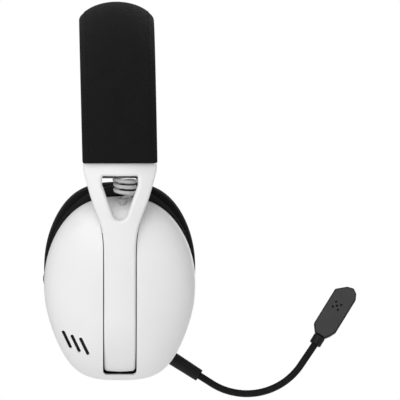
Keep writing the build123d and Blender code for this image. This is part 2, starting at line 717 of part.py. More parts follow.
def boom_straight(place, angle, length):
    """A straight stretch of the boom."""
    with BuildPart() as straight:
        with BuildSketch(local_plane(place, angle)):
            Circle(boom_radius)
        extrude(amount=length)
    return straight.part


with BuildPart() as boom_root:
    add(boom_straight(boom_start, mic_start_angle, boom_run_in))
    add(knuckle(knuckle_1, boom_radius))
save_left(boom_root, "boom_root")

with BuildPart() as boom_lower:
    add(boom_arc(knuckle_1, mic_start_angle))
    add(knuckle(knuckle_2, boom_radius))
    add(knuckle(knuckle_1, boom_radius + boom_knuckle_gap), mode=Mode.SUBTRACT)
save_left(boom_lower, "boom_lower")

with BuildPart() as boom_upper:
    add(boom_arc(knuckle_2, mic_start_angle + half_bend))
    add(knuckle(knuckle_3, boom_radius))
    add(knuckle(knuckle_2, boom_radius + boom_knuckle_gap), mode=Mode.SUBTRACT)
save_left(boom_upper, "boom_upper")

with BuildPart() as boom_neck:
    add(boom_straight(knuckle_3, mic_end_angle, boom_run_out))
    add(knuckle(knuckle_3, boom_radius + boom_knuckle_gap), mode=Mode.SUBTRACT)
save_left(boom_neck, "boom_neck")

with BuildPart() as boom_collar:
    with BuildSketch(local_plane(boom_end, mic_head_angle)):
        Circle(collar_radius)
    extrude(amount=collar_length)
    fillet(boom_collar.edges().filter_by(GeomType.CIRCLE), radius=0.4)
    add(boom_neck.part, mode=Mode.SUBTRACT)
save_left(boom_collar, "boom_collar")

capsule_base = mic_plane.from_local_coords(boom_end + head_direction * collar_length)
capsule_along = cup.x_dir * head_direction.X + cup.y_dir * head_direction.Y
capsule_plane = Plane(capsule_base, x_dir=capsule_along.cross(cup.z_dir), z_dir=cup.z_dir)


def capsule_half(low, high):
    """One half of the capsule's housing, with the outer face's edge rounded and a pocket for the cartridge."""
    with BuildPart() as half:
        with BuildSketch(capsule_plane.offset(low)) as outline:
            with BuildLine():
                Polyline(*capsule_outline, close=True)
            make_face()
            fillet(outline.vertices(), radius=1.2)
        extrude(amount=high - low)
        faces = half.faces().sort_by(Axis(capsule_plane.origin, capsule_plane.z_dir))
        outer_face = faces[0] if abs(low) > abs(high) else faces[-1]
        fillet(outer_face.edges(), radius=0.7)
    return half.part


with BuildPart() as capsule_front:
    add(capsule_half(-capsule_half_depth, capsule_joint))
    with BuildSketch(capsule_plane.offset(-capsule_half_depth)):
        with Locations(mic_place):
            Circle(0.65)
            with PolarLocations(2.3, 4, start_angle=42):
                Circle(0.65)
    extrude(amount=5, mode=Mode.SUBTRACT)
    with BuildSketch(capsule_plane.offset(-1.7)):
        with Locations(mic_place):
            Circle(3.1)
    extrude(amount=5, mode=Mode.SUBTRACT)
save_left(capsule_front, "capsule_front")

with BuildPart() as capsule_back:
    add(capsule_half(capsule_joint, capsule_half_depth))
    with BuildSketch(capsule_plane.offset(capsule_joint)):
        with Locations(mic_place):
            Circle(3.1)
    extrude(amount=2.2, mode=Mode.SUBTRACT)
save_left(capsule_back, "capsule_back")

with BuildPart() as mic_cartridge:
    with BuildSketch(capsule_plane.offset(-1.6)):
        with Locations(mic_place):
            Circle(3.0)
    extrude(amount=2.6)
save_left(mic_cartridge, "mic_cartridge")
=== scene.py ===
import json
import math

import bmesh
import bpy
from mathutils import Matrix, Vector


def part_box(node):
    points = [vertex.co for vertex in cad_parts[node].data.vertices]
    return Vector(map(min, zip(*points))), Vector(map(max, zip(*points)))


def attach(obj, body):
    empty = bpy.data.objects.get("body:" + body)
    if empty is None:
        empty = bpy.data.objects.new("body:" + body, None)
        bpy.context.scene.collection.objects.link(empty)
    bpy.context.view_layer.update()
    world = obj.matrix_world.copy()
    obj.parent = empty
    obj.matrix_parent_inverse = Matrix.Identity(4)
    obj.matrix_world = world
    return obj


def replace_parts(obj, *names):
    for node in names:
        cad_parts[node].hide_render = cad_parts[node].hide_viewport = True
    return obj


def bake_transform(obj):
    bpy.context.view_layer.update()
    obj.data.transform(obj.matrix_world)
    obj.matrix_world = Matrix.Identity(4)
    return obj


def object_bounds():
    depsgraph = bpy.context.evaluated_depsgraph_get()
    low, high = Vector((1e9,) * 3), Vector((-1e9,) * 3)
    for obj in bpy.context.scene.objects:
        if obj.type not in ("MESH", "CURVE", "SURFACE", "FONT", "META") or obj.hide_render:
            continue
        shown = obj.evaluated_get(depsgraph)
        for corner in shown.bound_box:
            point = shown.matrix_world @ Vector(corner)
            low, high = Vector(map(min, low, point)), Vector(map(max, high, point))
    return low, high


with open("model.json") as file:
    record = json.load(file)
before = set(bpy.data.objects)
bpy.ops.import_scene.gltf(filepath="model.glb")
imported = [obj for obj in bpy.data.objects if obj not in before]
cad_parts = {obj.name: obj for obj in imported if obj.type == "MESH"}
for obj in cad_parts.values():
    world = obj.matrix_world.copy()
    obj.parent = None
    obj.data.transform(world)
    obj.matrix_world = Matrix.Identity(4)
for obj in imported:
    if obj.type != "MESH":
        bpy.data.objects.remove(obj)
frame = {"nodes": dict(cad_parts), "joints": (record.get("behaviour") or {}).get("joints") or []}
cad_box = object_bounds()

MM = 0.001
nodes = frame["nodes"]
joints = {joint["name"]: joint for joint in frame["joints"]}
scene = bpy.context.scene
SIDES = {"right": -1, "left": 1}

# ---- the cups' own frame: forwards, up along the yoke's bar, and out from the rim ----
FORWARDS = Vector((1, 0, 0))
CUP_UP = -Vector(joints["left_cup_slide"]["axis"])
CUP_OUT = Vector(joints["volume_turn"]["axis"])
wheel_along, wheel_up, wheel_out = -33.5, 4.0, 7.0  # the volume wheel's centre, from the rim's middle, in mm
wheel_offset = (wheel_along * FORWARDS + wheel_up * CUP_UP + wheel_out * CUP_OUT) * MM
RIM_CENTRE = Vector(joints["volume_turn"]["pos_m"]) - wheel_offset

# ---- the headband's arch, from the spring strip inside it ----
spring_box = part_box("headband_spring")
cover_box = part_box("headband_cover")
edge_level = cover_box[0].z
rise = spring_box[1].z - edge_level
strip_radius = (spring_box[1].y ** 2 + rise**2) / (2 * rise)
strip_lift = 0.4 * MM  # the strip's outer face lies this far outside the headband's middle line
ARCH_RADIUS = strip_radius - strip_lift
ARCH_CENTRE = spring_box[1].z - strip_radius
BAND_LEAN = math.tan(math.radians(1.2))  # the padded cover leans backwards over its frame


def cup_point(side, along, up, out):
    """The point that far forwards, up and out from the middle of a cup's rim, in millimetres."""
    point = RIM_CENTRE + (along * FORWARDS + up * CUP_UP + out * CUP_OUT) * MM
    return Vector((point.x, side * point.y, point.z))


def arch_angle(radius, share):
    """The angle round the arch at that share of the way from the fabric's one end to its other."""
    first = math.asin((edge_level - ARCH_CENTRE) / radius)
    return first + share * (math.pi - 2 * first)


def band_point(x, height, share):
    """A point on the headband, from x, its height over the middle line and its share of the way along."""
    radius = ARCH_RADIUS + height
    angle = arch_angle(radius, share)
    back = BAND_LEAN * (ARCH_CENTRE + ARCH_RADIUS * math.sin(arch_angle(ARCH_RADIUS, share)) - edge_level)
    return Vector((x - back, -radius * math.cos(angle), ARCH_CENTRE + radius * math.sin(angle)))


# ---- materials ----
class Finish:
    """A Principled material and the nodes that give it its pattern."""

    def __init__(self, name, colour, roughness, **sockets):
        self.material = bpy.data.materials.new(name)
        self.material.use_nodes = True
        self.tree = self.material.node_tree
        self.shader = self.tree.nodes["Principled BSDF"]
        self.shader.inputs["Base Color"].default_value = (*colour, 1)
        self.shader.inputs["Roughness"].default_value = roughness
        self.colour, self.roughness = colour, roughness
        for socket, value in sockets.items():
            self.shader.inputs[socket.replace("_", " ").title().replace("Ior", "IOR")].default_value = value
        self.place = self.node("ShaderNodeTexCoord").outputs["Object"]

    def node(self, kind, **values):
        made = self.tree.nodes.new(kind)
        for name, value in values.items():
            if name in made.inputs:
                made.inputs[name].default_value = value
            else:
                setattr(made, name, value)
        return made

    def link(self, output, node, socket):
        self.tree.links.new(output, node.inputs[socket])

    def use_uv(self):
        """Places the patterns that follow by the mesh's own UV map, which is in metres."""
        self.place = self.node("ShaderNodeUVMap").outputs["UV"]

    def noise(self, size_mm, detail=3.0, stretch=(1, 1, 1)):
        """Noise with lumps of about that size."""
        mapping = self.node("ShaderNodeMapping")
        mapping.inputs["Scale"].default_value = [1000 / size_mm * share for share in stretch]
        self.link(self.place, mapping, "Vector")
        texture = self.node("ShaderNodeTexNoise", Scale=1.0, Detail=detail)
        self.link(mapping.outputs["Vector"], texture, "Vector")
        return texture.outputs["Fac"]

    def cells(self, size_mm):
        """Rounded cells of about that size."""
        texture = self.node("ShaderNodeTexVoronoi", feature="F1", Scale=1000 / size_mm)
        self.link(self.place, texture, "Vector")
        return texture.outputs["Distance"]

    def waves(self, size_mm, direction, distortion=0.0):
        """Parallel ridges that far apart."""
        texture = self.node("ShaderNodeTexWave", bands_direction=direction, Distortion=distortion)
        texture.inputs["Scale"].default_value = 1000 * math.tau / (20 * size_mm)
        self.link(self.place, texture, "Vector")
        return texture.outputs["Fac"]

    def math(self, operation, first, second):
        made = self.node("ShaderNodeMath", operation=operation)
        for index, value in enumerate((first, second)):
            if isinstance(value, (int, float)):
                made.inputs[index].default_value = value
            else:
                self.tree.links.new(value, made.inputs[index])
        return made.outputs[0]

    def weave(self, pitch_mm, waviness):
        """Over-and-under threads of that pitch, as a height from 0 to 1."""
        checker = self.node("ShaderNodeTexChecker", Scale=1000 / pitch_mm)
        self.link(self.place, checker, "Vector")
        across = self.waves(pitch_mm, "X", waviness)
        along = self.waves(pitch_mm, "Y", waviness)
        over = self.math("MULTIPLY", across, checker.outputs["Fac"])
        under = self.math("MULTIPLY", along, self.math("SUBTRACT", 1.0, checker.outputs["Fac"]))
        return self.math("ADD", over, under)

    def spread(self, factor, low, high, start=0.3, end=0.7):
        """The factor's range from start to end, mapped to low to high."""
        made = self.node("ShaderNodeMapRange")
        for name, value in (("From Min", start), ("From Max", end), ("To Min", low), ("To Max", high)):
            made.inputs[name].default_value = value
        self.link(factor, made, "Value")
        return made.outputs["Result"]

    def shade(self, factor, darker, lighter):
        """Varies the colour with the factor, between those multiples of it."""
        ramp = self.node("ShaderNodeValToRGB")
        for element, share in zip(ramp.color_ramp.elements, (darker, lighter)):
            element.color = (*[channel * share for channel in self.colour], 1)
        self.link(factor, ramp, "Fac")
        self.link(ramp.outputs["Color"], self.shader, "Base Color")

    def gloss(self, factor, change):
        """Varies the roughness with the factor, up and down by change."""
        roughness = self.spread(factor, self.roughness - change, self.roughness + change)
        self.link(roughness, self.shader, "Roughness")

    def bump(self, *heights):
        """Stacks bumps, each a (height, depth in millimetres, strength)."""
        normal = None
        for height, depth_mm, strength in heights:
            made = self.node("ShaderNodeBump", Strength=strength, Distance=depth_mm * MM)
            self.link(height, made, "Height")
            if normal is not None:
                self.link(normal, made, "Normal")
            normal = made.outputs["Normal"]
        self.link(normal, self.shader, "Normal")


def plastic(name, colour, roughness, grain_mm, grain_depth, **sockets):
    """Moulded plastic: a fine grain, faint flow marks and patches rubbed smoother by handling."""
    finish = Finish(name, colour, roughness, **sockets)
    patches = finish.noise(14, 2)
    finish.shade(finish.noise(30, 4), 0.965, 1.02)
    finish.gloss(patches, 0.06)
    finish.bump((finish.noise(grain_mm, 2), grain_depth, 0.35), (finish.noise(7, 1), 0.02, 0.2))
    return finish.material


def mic_face():
    """Dark grey plastic on the flat face towards the mouth, with painted shade darkening its rounded edge to
    black.
    """
    finish = Finish("mic_grey", (0.040, 0.040, 0.0415), 0.55, specular_ior_level=0.3)
    facing = finish.node("ShaderNodeVectorMath", operation="DOT_PRODUCT")
    facing.inputs[1].default_value = -CUP_OUT
    shaded_edge_from, grey_from = 0.985, 0.998  # cosines: about 10 and 4 degrees off the flat face; the painted shade is full black beyond the first
    finish.link(finish.node("ShaderNodeTexCoord").outputs["Normal"], facing, 0)
    # Painted shade: the rounded edge is darkened to black, and the flat face keeps its grey.
    finish.shade(finish.spread(facing.outputs["Value"], 0, 1, shaded_edge_from, grey_from), 0.05, 1.0)
    finish.gloss(finish.noise(8, 2), 0.06)
    finish.bump((finish.noise(0.28, 2), 0.04, 0.35), (finish.noise(6, 1), 0.02, 0.2))
    return finish.material


def cloth(name, colour, pitch_mm, sheen):
    """Woven or knitted cloth, laid out by UV, with uneven yarn, a soft nap and slightly faded patches."""
    finish = Finish(name, colour, 0.92, specular_ior_level=0.18, sheen_weight=sheen, sheen_roughness=0.45)
    finish.shader.inputs["Sheen Tint"].default_value = (0.8, 0.8, 0.85, 1)
    finish.use_uv()
    threads = finish.weave(pitch_mm, 0.6)
    yarn = finish.noise(1.3, 3, (1, 0.3, 1))
    faded = finish.noise(9, 4)
    thread_share, yarn_share, faded_share = 0.45, 0.25, 0.45
    thread_tone = finish.math("MULTIPLY", threads, thread_share)
    tone = finish.math("ADD", thread_tone, finish.math("MULTIPLY", yarn, yarn_share))
    tone = finish.math("ADD", tone, finish.math("MULTIPLY", faded, faded_share))
    finish.shade(finish.spread(tone, 0, 1, 0.25, 0.95), 0.55, 1.6)
    finish.bump((threads, pitch_mm * 0.35, 0.7), (yarn, 0.12, 0.4), (faded, 0.25, 0.25))
    return finish.material


def metal(name, colour, roughness, stretch):
    """Metal with brushing or rolling marks and a little staining."""
    finish = Finish(name, colour, roughness, metallic=1.0)
    marks = finish.noise(0.5, 3, stretch)
    finish.shade(finish.noise(3, 4), 0.85, 1.05)
    finish.gloss(finish.noise(4, 3), 0.09)
    finish.bump((marks, 0.02, 0.5))
    return finish.material


def foam():
    """Open-celled foam."""
    finish = Finish("open_foam", (0.055, 0.055, 0.06), 0.95, specular_ior_level=0.1)
    pores = finish.cells(0.7)
    finish.shade(pores, 0.6, 1.3)
    finish.bump((pores, 0.35, 0.9))
    return finish.material


def mesh_cloth():
    """Fine black gauze."""
    finish = Finish("vent_gauze", (0.012, 0.012, 0.013), 0.6, metallic=0.2)
    wires = finish.math("MAXIMUM", finish.waves(0.6, "X"), finish.waves(0.6, "Z"))
    finish.shade(wires, 0.3, 1.5)
    finish.bump((wires, 0.15, 0.8))
    return finish.material


def board():
    """A circuit board's solder mask over its tracks."""
    finish = Finish("solder_mask", (0.012, 0.07, 0.03), 0.35, coat_weight=0.4)
    bricks = finish.node("ShaderNodeTexBrick", Scale=320.0)
    finish.link(finish.place, bricks, "Vector")
    tracks = bricks.outputs["Fac"]
    finish.shade(tracks, 0.7, 1.9)
    finish.bump((tracks, 0.03, 0.5), (finish.noise(0.4, 1), 0.01, 0.2))
    return finish.material


def foil():
    """The battery's creased wrapping."""
    finish = Finish("battery_foil", (0.55, 0.57, 0.6), 0.3, metallic=0.7)
    folds = finish.noise(5, 3, (1, 1, 0.4))
    finish.shade(finish.noise(12, 2), 0.85, 1.05)
    finish.gloss(folds, 0.08)
    finish.bump((folds, 0.25, 0.35), (finish.noise(0.8, 2), 0.03, 0.2))
    return finish.material


def film():
    """The loudspeaker's ribbed film."""
    finish = Finish("diaphragm_film", (0.42, 0.36, 0.24), 0.25, coat_weight=0.5, alpha=0.96)
    rings = finish.waves(1.1, "DIAGONAL", 0.4)
    finish.shade(finish.noise(6, 2), 0.8, 1.1)
    finish.bump((rings, 0.05, 0.3))
    return finish.material


def lens():
    """The status light's clear lens."""
    finish = Finish("light_lens", (0.75, 0.78, 0.8), 0.18, transmission_weight=0.6, ior=1.49)
    finish.gloss(finish.noise(1.5, 2), 0.05)
    finish.bump((finish.noise(0.6, 2), 0.02, 0.3))
    return finish.material


def rubber(name, colour, roughness):
    """Matt rubber, slightly uneven."""
    finish = Finish(name, colour, roughness, specular_ior_level=0.2)
    finish.shade(finish.noise(5, 3), 0.8, 1.25)
    finish.gloss(finish.noise(3, 3), 0.08)
    finish.bump((finish.noise(0.25, 2), 0.03, 0.5), (finish.noise(2.2, 2), 0.05, 0.25))
    return finish.material


FINISHES = {
    "shell_white": plastic("satin_white", (0.80, 0.80, 0.80), 0.42, 0.35, 0.012),
    "black_plastic": plastic(
        "textured_black", (0.0075, 0.0075, 0.0078), 0.55, 0.3, 0.03, specular_ior_level=0.2
    ),
    "mic_plastic": plastic("mic_black", (0.006, 0.006, 0.0062), 0.5, 0.28, 0.03, specular_ior_level=0.22),
    "mic_face": mic_face(),
    "cover_fabric": cloth("band_weave", (0.0052, 0.0052, 0.0054), 0.62, 0.028),
    "pad_fabric": cloth("pad_knit", (0.006, 0.006, 0.0062), 0.85, 0.035),
    "foam": foam(),
    "boom_rubber": rubber("boom_rubber", (0.0038, 0.0038, 0.0038), 0.65),
    "lead_grey": rubber("lead_jacket", (0.47, 0.47, 0.475), 0.42),
    "screw_steel": metal("zinc_plated", (0.62, 0.62, 0.6), 0.32, (1, 1, 1)),
    "spring_steel": metal("blued_spring", (0.42, 0.44, 0.47), 0.3, (0.15, 1, 1)),
    "magnet_metal": metal("nickel_plate", (0.6, 0.6, 0.6), 0.26, (1, 1, 0.2)),
    "contact_gold": metal("gold_plate", (0.83, 0.6, 0.24), 0.2, (1, 0.3, 1)),
    "mesh_black": mesh_cloth(),
    "board_green": board(),
    "battery_wrap": foil(),
    "film": film(),
    "light_clear": lens(),
}
for node in nodes.values():
    slot_name = node.data.materials[0].name.split(".")[0]
    node.data.materials[0] = FINISHES[slot_name]
# Black acoustic cloth covers the microphone's cartridge, so the holes over it look dark.
nodes["mic_cartridge"].data.materials[0] = FINISHES["mesh_black"]


# ---- mesh helpers ----
def make_object(name, bm, material):
    """Turns a bmesh into a smooth-shaded object of that material."""
    mesh = bpy.data.meshes.new(name)
    bm.to_mesh(mesh)
    bm.free()
    mesh.polygons.foreach_set("use_smooth", [True] * len(mesh.polygons))
    mesh.materials.append(material)
    made = bpy.data.objects.new(name, mesh)
    scene.collection.objects.link(made)
    return made


def make_piece(name, bm, slot_name):
    """Turns a bmesh into a piece with that slot's finish."""
    piece = make_object(name, bm, FINISHES[slot_name])
    return piece


def add_grid(bm, rows, closed_rows, closed_columns=False):
    """Skins a grid of (point, u, v) with quads, and returns its rows of vertices."""
    uv = bm.loops.layers.uv.verify()
    grid = [[bm.verts.new(point) for point, _, _ in row] for row in rows]
    last = len(rows) if closed_columns else len(rows) - 1
    for r in range(last):
        near, far = r, (r + 1) % len(rows)
        width = len(rows[0]) if closed_rows else len(rows[0]) - 1
        for c in range(width):
            d = (c + 1) % len(rows[0])
            face = bm.faces.new((grid[near][c], grid[near][d], grid[far][d], grid[far][c]))
            u0, v0 = rows[near][c][1:]
            u1, v1 = rows[near][d][1:] if d else (2 * rows[near][-1][1] - rows[near][-2][1], v0)
            v2 = rows[far][c][2] if far else 2 * rows[-1][c][2] - rows[-2][c][2]
            for loop, place in zip(face.loops, ((u0, v0), (u1, v1), (u1, v2), (u0, v2))):
                loop[uv].uv = place
    return grid


def add_tube(bm, points, radii, sides):
    """A closed tube along the points, its radius given at each."""
    normal = (points[1] - points[0]).orthogonal().normalized()
    rows, length = [], 0.0
    for index, point in enumerate(points):
        before, after = points[max(index - 1, 0)], points[min(index + 1, len(points) - 1)]
        tangent = (after - before).normalized()
        normal = (normal - tangent * normal.dot(tangent)).normalized()
        other = tangent.cross(normal)
        length += (point - before).length
        row = []
        for step in range(sides):
            turn = math.tau * step / sides
            offset = (normal * math.cos(turn) + other * math.sin(turn)) * radii[index]
            row.append((point + offset, turn * radii[0], length))
        rows.append(row)
    grid = add_grid(bm, rows, True)
    bm.faces.new(list(reversed(grid[0])))
    bm.faces.new(grid[-1])


def tube(name, points, radius, slot_name, sides):
    """A piece that is one tube of even thickness."""
    bm = bmesh.new()
    add_tube(bm, points, [radius] * len(points), sides)
    return make_piece(name, bm, slot_name)


STITCH_SHAPE = ((-1, 0.2), (-0.75, 0.8), (0, 1), (0.75, 0.8), (1, 0.2))  # places along it, and thicknesses
STITCH_SIDES = 6


def add_stitches(bm, line, pitch, length, radius):
    """Short raised stitches along a line of points, one every pitch."""
    travelled, due = 0.0, pitch / 2
    for start, end in zip(line, line[1:]):
        run = (end - start).length
        while due <= travelled + run:
            centre = start.lerp(end, (due - travelled) / run)
            reach = (end - start).normalized() * length / 2
            points = [centre + reach * mark for mark, _ in STITCH_SHAPE]
            add_tube(bm, points, [radius * thickness for _, thickness in STITCH_SHAPE], STITCH_SIDES)
            due += pitch
        travelled += run


CLOTH_SCALE = 20.0
CLOTH_FRAMES = 20
CLOTH_STIFFNESS = 15.0


def swell(piece, pinned, pressure, cap):
    """Fills out fabric with a short cloth simulation, run enlarged; no point moves further than cap."""
    before = [vertex.co.copy() for vertex in piece.data.vertices]
    for vertex in piece.data.vertices:
        vertex.co = vertex.co * CLOTH_SCALE
    group = piece.vertex_groups.new(name="pinned")
    group.add(pinned, 1.0, "REPLACE")
    cloth_modifier = piece.modifiers.new("Cloth", "CLOTH")
    settings = cloth_modifier.settings
    settings.quality = 6
    settings.mass = 0.3
    settings.tension_stiffness = settings.compression_stiffness = CLOTH_STIFFNESS
    settings.shear_stiffness = CLOTH_STIFFNESS / 2
    settings.bending_stiffness = 2.0
    settings.vertex_group_mass = "pinned"
    settings.use_pressure = True
    settings.uniform_pressure_force = pressure
    settings.effector_weights.gravity = 0
    cloth_modifier.point_cache.frame_start = 1
    cloth_modifier.point_cache.frame_end = CLOTH_FRAMES
    for step in range(1, CLOTH_FRAMES + 1):
        scene.frame_set(step)
    shown = piece.evaluated_get(bpy.context.evaluated_depsgraph_get())
    after = [vertex.co / CLOTH_SCALE for vertex in shown.data.vertices]
    piece.modifiers.remove(cloth_modifier)
    piece.vertex_groups.remove(group)
    for vertex, start, end in zip(piece.data.vertices, before, after):
        move = end - start
        vertex.co = start + (move * (cap / move.length) if move.length > cap else move)
    piece.data.update()
    scene.frame_set(1)


def subdivide(piece):
    modifier = piece.modifiers.new("Subdivision", "SUBSURF")
    modifier.levels = modifier.render_levels = 1


# ---- headband cover: a crowned outer panel, grooved along its seams, and a padded inner one ----
# Each pair is a measure at the fabric's ends, and how much more it is at the top of the arch.
HALF_WIDTH, WIDENING = 19.57, 0.45
CROWN, CROWN_GROWTH = 5.0, 6.2
FULLNESS, FULLNESS_GROWTH = 0.5, 0.12
SEAM_RISE = 1.45 * MM  # the widest line's height over the middle line at the top
INNER_DEPTH, INNER_POWER = 8.4 * MM, 2.2
GROOVE_DEPTH, GROOVE_INSET, GROOVE_WIDTH = 0.28 * MM, 2.0 * MM, 0.5 * MM
OUTER_POINTS, INNER_POINTS = 44, 36  # round the section
FABRIC_LENGTH = math.pi * ARCH_RADIUS * 0.92
END_RINGS = ((0.86, 0.35 * MM), (0.97, 0.05 * MM))  # size and lift of the rings that turn an end in
END_LIFT = 0.55 * MM


def band_bulge(share):
    """How full the band is at that share of the way along: least at its ends, 1 at its top."""
    return math.sin(arch_angle(ARCH_RADIUS, share)) ** 1.5


def band_half_width(share):
    return (HALF_WIDTH + WIDENING * band_bulge(share)) * MM


def band_profile(share, inset):
    """The section's outline at that share of the way along: over the outer panel, then the inner one."""
    bulge = band_bulge(share)
    seam = SEAM_RISE * bulge
    crown = (CROWN + CROWN_GROWTH * bulge) * MM
    fullness = FULLNESS + FULLNESS_GROWTH * bulge
    half = band_half_width(share) - inset
    outline = []
    for step in range(OUTER_POINTS):
        t = math.cos(math.pi * step / OUTER_POINTS)
        groove = GROOVE_DEPTH * math.exp(-(((abs(t) * half - half + GROOVE_INSET) / GROOVE_WIDTH) ** 2))
        lift = (crown - inset - seam) * max(0.0, 1 - t * t) ** fullness
        outline.append((t * half, seam + lift - (groove if inset == 0 else 0)))
    for step in range(INNER_POINTS):
        t = math.cos(math.pi * step / INNER_POINTS)
        depth = (INNER_DEPTH - inset + seam) * max(0.0, 1 - abs(t) ** INNER_POWER) ** 0.5
        outline.append((-t * half, seam - depth))
    return outline


def band_sleeve(name, slot_name, inset, rings=132):
    """The closed sleeve along the whole headband, its ends turned in."""
    bm = bmesh.new()
    rows = []
    for step in range(rings + 1):
        share = step / rings
        row, around, last = [], 0.0, None
        for x, height in band_profile(share, inset):
            place = Vector((x, height, 0))
            around += (place - last).length if last else 0.0
            last = place
            row.append((band_point(x, height, share), around, share * FABRIC_LENGTH))
        rows.append(row)
    for sign in (1, -1):
        source = rows[0] if sign == 1 else rows[-1]
        middle = sum((point for point, _, _ in source), Vector()) / len(source)
        extra = []
        for shrink, lift in END_RINGS:
            ring = []
            for point, u, v in source:
                inner = middle + (point - middle) * shrink
                lifted_point = Vector((inner.x, inner.y, inner.z + lift))
                ring.append((lifted_point, u, v - sign * (1 - shrink) * 10 * MM))
            extra.append(ring)
        lifted = [(Vector((point.x, point.y, point.z + END_LIFT)), u, v) for point, u, v in source]
        if sign == 1:
            rows = extra + [lifted] + rows[1:]
        else:
            rows = rows[:-1] + [lifted] + list(reversed(extra))
    grid = add_grid(bm, rows, True)
    for ring in (grid[0], grid[-1]):
        bm.faces.new(ring)
    bmesh.ops.recalc_face_normals(bm, faces=bm.faces)
    return make_piece(name, bm, slot_name), len(rows)


cover, cover_rows = band_sleeve("headband_sleeve", "cover_fabric", 0.0)
columns = OUTER_POINTS + INNER_POINTS
soft_rows = range(6, cover_rows - 6)
soft_columns = range(OUTER_POINTS + 3, columns - 2)
free = {row * columns + column for row in soft_rows for column in soft_columns}
held = [index for index in range(len(cover.data.vertices)) if index not in free]
swell(cover, held, pressure=3.0, cap=1.6 * MM)
subdivide(cover)
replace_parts(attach(cover, "headband"), "headband_cover")

cushion, _ = band_sleeve("headband_cushion", "foam", 1.3 * MM, 96)
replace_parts(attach(cushion, "headband"), "headband_foam")

stitch_inset, stitch_lift = 3.2 * MM, 0.05 * MM
stitch_start, stitch_run, stitch_steps = 0.012, 0.976, 120
bm = bmesh.new()
for side in (-1, 1):
    line = []
    for step in range(stitch_steps + 1):
        share = stitch_start + stitch_run * step / stitch_steps
        edge = band_half_width(share) - stitch_inset
        points = [point for point in band_profile(share, 0.0)[:OUTER_POINTS] if point[0] * side > 0]
        near = min(points, key=lambda point: abs(abs(point[0]) - edge))
        line.append(band_point(near[0], near[1] + stitch_lift, share))
    add_stitches(bm, line, pitch=2.6 * MM, length=1.9 * MM, radius=0.16 * MM)
stitches = make_piece("headband_stitching", bm, "cover_fabric")
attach(stitches, "headband")


# ---- ear pads: a soft ring with a seam round the face's outer and inner edges ----
PAD_MIDDLE, PAD_TOP, PAD_BOTTOM = 8.4, 44.9, -57.5  # its widest line over the rim's middle, and its reaches
PAD_HALF_WIDTH = 39.7
PAD_POWER, PAD_TOP_POWER = 2.15, 0.45  # an ellipse has the power 2, and more is squarer


def pad_edge(turn):
    """The pad's outer edge, an oval that is squarer towards its top and lies inside the CAD solid's."""
    rise = abs(math.sin(turn)) ** 0.9
    upper = math.sin(turn) > 0
    reach, power = (PAD_TOP, PAD_POWER + PAD_TOP_POWER * rise**3) if upper else (PAD_BOTTOM, PAD_POWER)
    half_width = PAD_HALF_WIDTH * max(0.0, 1 - rise**power) ** (1 / power)
    return math.copysign(half_width, math.cos(turn)), PAD_MIDDLE + reach * rise


OPENING_HALF_WIDTH, OPENING_HALF_HEIGHT, OPENING_RISE = 22.0, 33.0, 3.0
OPENING_ROUNDNESS = 0.85


def opening(turn, size=1.0, grow=0.0):
    """The ear opening's edge, in millimetres from the rim's middle."""
    across = math.copysign(abs(math.cos(turn)) ** OPENING_ROUNDNESS, math.cos(turn))
    up = math.copysign(abs(math.sin(turn)) ** OPENING_ROUNDNESS, math.sin(turn))
    half_width, half_height = OPENING_HALF_WIDTH + grow, OPENING_HALF_HEIGHT + grow
    return half_width * size * across, OPENING_RISE + half_height * size * up


# The pad's section: shares of the way from the opening's edge to the outer one, and places out from the rim.
PAD_PROFILE = [
    (0.03, -7.75), (0.2, -7.7), (0.5, -7.7), (0.8, -7.7), (0.955, -7.9), (0.992, -9.2),
    (0.985, -11.0), (0.985, -13.5), (0.98, -16.0), (0.975, -18.5), (0.955, -20.8), (0.915, -22.6),
    (0.885, -23.1), (0.85, -24.4), (0.76, -25.4), (0.66, -25.85), (0.55, -26.0), (0.44, -25.9),
    (0.33, -25.5), (0.23, -24.6), (0.165, -23.5), (0.135, -23.3), (0.085, -21.8), (0.04, -19.0),
    (0.025, -16.0), (0.02, -13.0), (0.015, -10.0),
]
PAD_SEAMS = (12, 21)
PAD_FIXED = (0, 1, 2, 3, 4, 5)
PUCKER = 0.22
PAD_MEAN_RADIUS = 0.042


def ear_pad(side_name, steps=152):
    side = SIDES[side_name]
    bm = bmesh.new()
    rows = []
    for step in range(steps):
        turn = math.tau * step / steps
        inner, outer = opening(turn), pad_edge(turn)
        row, around, last = [], 0.0, None
        for index, (share, out) in enumerate(PAD_PROFILE):
            pucker = PUCKER * math.sin(step * math.tau / 4) if index in PAD_SEAMS else 0.0
            u = inner[0] + (outer[0] - inner[0]) * share
            v = inner[1] + (outer[1] - inner[1]) * share
            place = cup_point(side, u, v, out + pucker)
            around += (place - last).length if last else 0.0
            last = place
            row.append((place, around, math.tau * PAD_MEAN_RADIUS * step / steps))
        rows.append(row)
    add_grid(bm, rows, True, True)
    bmesh.ops.recalc_face_normals(bm, faces=bm.faces)
    pad = make_piece(f"ear_cushion_{side_name}", bm, "pad_fabric")
    count = len(PAD_PROFILE)
    pinned = [r * count + c for r in range(steps) for c in PAD_SEAMS + PAD_FIXED]
    swell(pad, pinned, pressure=4.0, cap=1.5 * MM)
    subdivide(pad)
    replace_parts(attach(pad, f"{side_name}_cup"), f"ear_pad_{side_name}")


CLOTH_BACK, CLOTH_FRONT = -6.1, -6.8
QUILT_DEPTH, QUILT_PITCH = 0.22, 11.6
HEM_DEPTH, HEM_PLACE, HEM_WIDTH = -0.45, 0.93, 0.03


